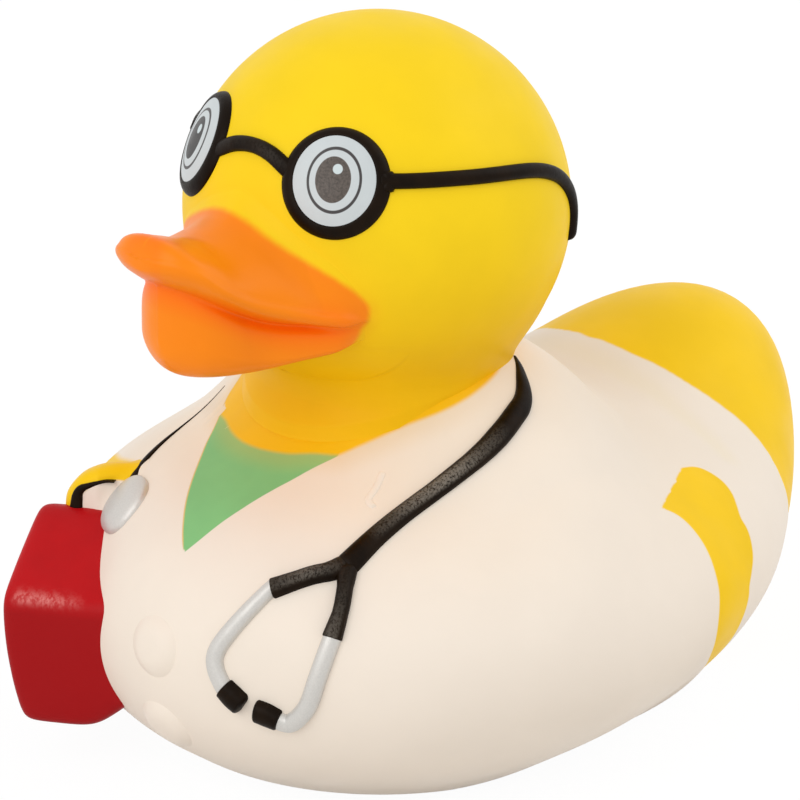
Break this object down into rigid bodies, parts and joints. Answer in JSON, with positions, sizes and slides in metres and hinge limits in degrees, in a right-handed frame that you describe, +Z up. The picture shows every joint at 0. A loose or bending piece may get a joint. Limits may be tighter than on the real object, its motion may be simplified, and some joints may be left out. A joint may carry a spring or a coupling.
{
  "type": "rubber duck",
  "caption": "Hollow moulded bath duck dressed as a doctor, with raised round glasses, stethoscope and coat buttons, holding a small case, on a flat base",
  "frame": {"origin": "on the flat base, straight below the centre of the head", "axes": "-Y the way the duck looks, +X towards its left, +Z up"},
  "size_m": [0.075, 0.1011, 0.0831],
  "materials": {
    "coat": "satin cream paint on vinyl",
    "yellow_vinyl": "soft satin, bare vinyl",
    "bill_orange": "satin, sprayed",
    "black_paint": "satin paint, rubbed on the crests",
    "silver_paint": "soft metallic paint",
    "case_red": "gloss paint, rubbed on the edges",
    "shirt_green": "satin paint",
    "eye_print": "flat print"
  },
  "bodies": {
    "root": {"duck": "coat"}
  },
  "joints": []
}
